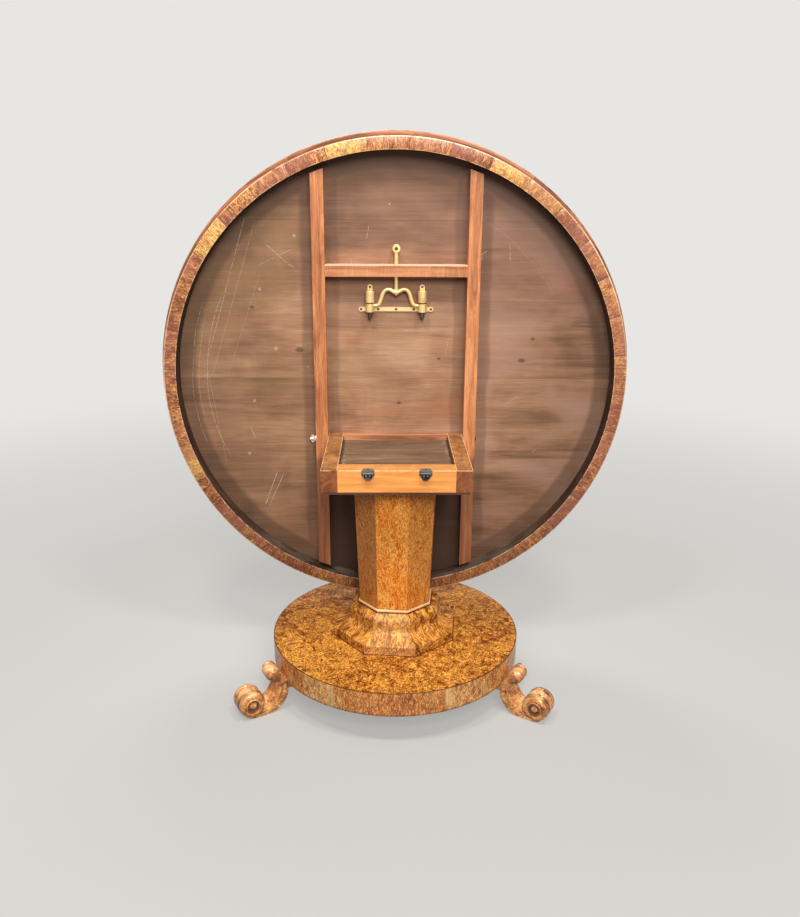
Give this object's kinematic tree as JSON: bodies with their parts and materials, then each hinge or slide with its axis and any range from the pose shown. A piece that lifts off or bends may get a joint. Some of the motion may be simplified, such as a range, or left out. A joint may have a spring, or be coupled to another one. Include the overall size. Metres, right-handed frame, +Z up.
{
  "type": "tilt-top pedestal table",
  "caption": "Round tilt-top centre table on an octagonal pedestal and scroll-footed platform, the hooped top tipped upright with its sprung brass catch showing.",
  "frame": {"origin": "on the floor, under the centre of the plan's bounding rectangle; the column's axis stands 71 mm in front of it, at y = -0.071 m", "axes": "+Z up; the catch side of the upright top faces -Y and its show face +Y; the tilt axis runs along X"},
  "size_m": [1.3898, 0.87, 1.5683],
  "materials": {
    "burr": "figured burr veneer, French polished",
    "burr_ring": "cross-grained burr veneer blocks, polished",
    "mahogany": "straight-grained mahogany, oiled",
    "mahogany_edge": "mahogany moulding, polished",
    "golden_rail": "golden straight-grained hardwood, polished",
    "stained_plank": "dark stained softwood, unpolished and scratched",
    "carved_foot": "carved and polished hardwood",
    "raw_wood": "unpolished secondary wood",
    "brass": "old lacquered brass",
    "steel": "dark worn steel",
    "bright_steel": "bright steel"
  },
  "bodies": {
    "base": {"block_back_rail": "mahogany", "block_bottom_board": "raw_wood", "block_front_rail": "golden_rail", "block_panel": "stained_plank", "block_side_left": "mahogany", "block_side_right": "mahogany", "collar": "burr", "collar_bead": "golden_rail", "column_core": "raw_wood", "column_veneer": "burr", "foot_back": "carved_foot", "foot_block_back": "raw_wood", "foot_block_left": "raw_wood", "foot_block_right": "raw_wood", "foot_block_screws": "bright_steel", "foot_left": "carved_foot", "foot_right": "carved_foot", "panel_cleats": "raw_wood", "pivot_nut_left": "bright_steel", "pivot_screw_right": "bright_steel", "pivot_stud_left": "bright_steel", "pivot_washer_left": "bright_steel", "platform_core": "raw_wood", "platform_rim_band": "burr", "platform_veneer": "burr", "strike_left": "steel", "strike_right": "steel", "strike_screws": "steel"},
    "top": {"bearer_left": "mahogany", "bearer_right": "mahogany", "catch_barrel_left": "brass", "catch_barrel_right": "brass", "catch_plate": "brass", "catch_screws": "brass", "catch_spring_left": "steel", "catch_spring_right": "steel", "cross_rail": "mahogany", "edge_lipping": "mahogany_edge", "hoop_crossband": "burr_ring", "hoop_facing": "burr_ring", "hoop_segments": "stained_plank", "plank_1": "stained_plank", "plank_2": "stained_plank", "plank_3": "stained_plank", "plank_4": "stained_plank", "plank_5": "stained_plank", "plank_6": "stained_plank", "show_veneer": "burr"},
    "catch": {"catch_bolt_left": "steel", "catch_bolt_right": "steel", "catch_knob": "brass", "catch_lever": "brass"}
  },
  "joints": [
    {"name": "top_tilt", "type": "hinge", "parent": "base", "child": "top", "pos_m": [0, 0.112, 0.69], "axis": [1, 0, 0], "range_deg": [0, 90]},
    {"name": "catch_slide", "type": "slide", "parent": "top", "child": "catch", "axis": [0, 0, 1], "range_m": [0, 0.009], "stiffness_N_per_m": 400, "springref_m": -0.02, "deforming": ["catch_spring_left", "catch_spring_right"]}
  ]
}
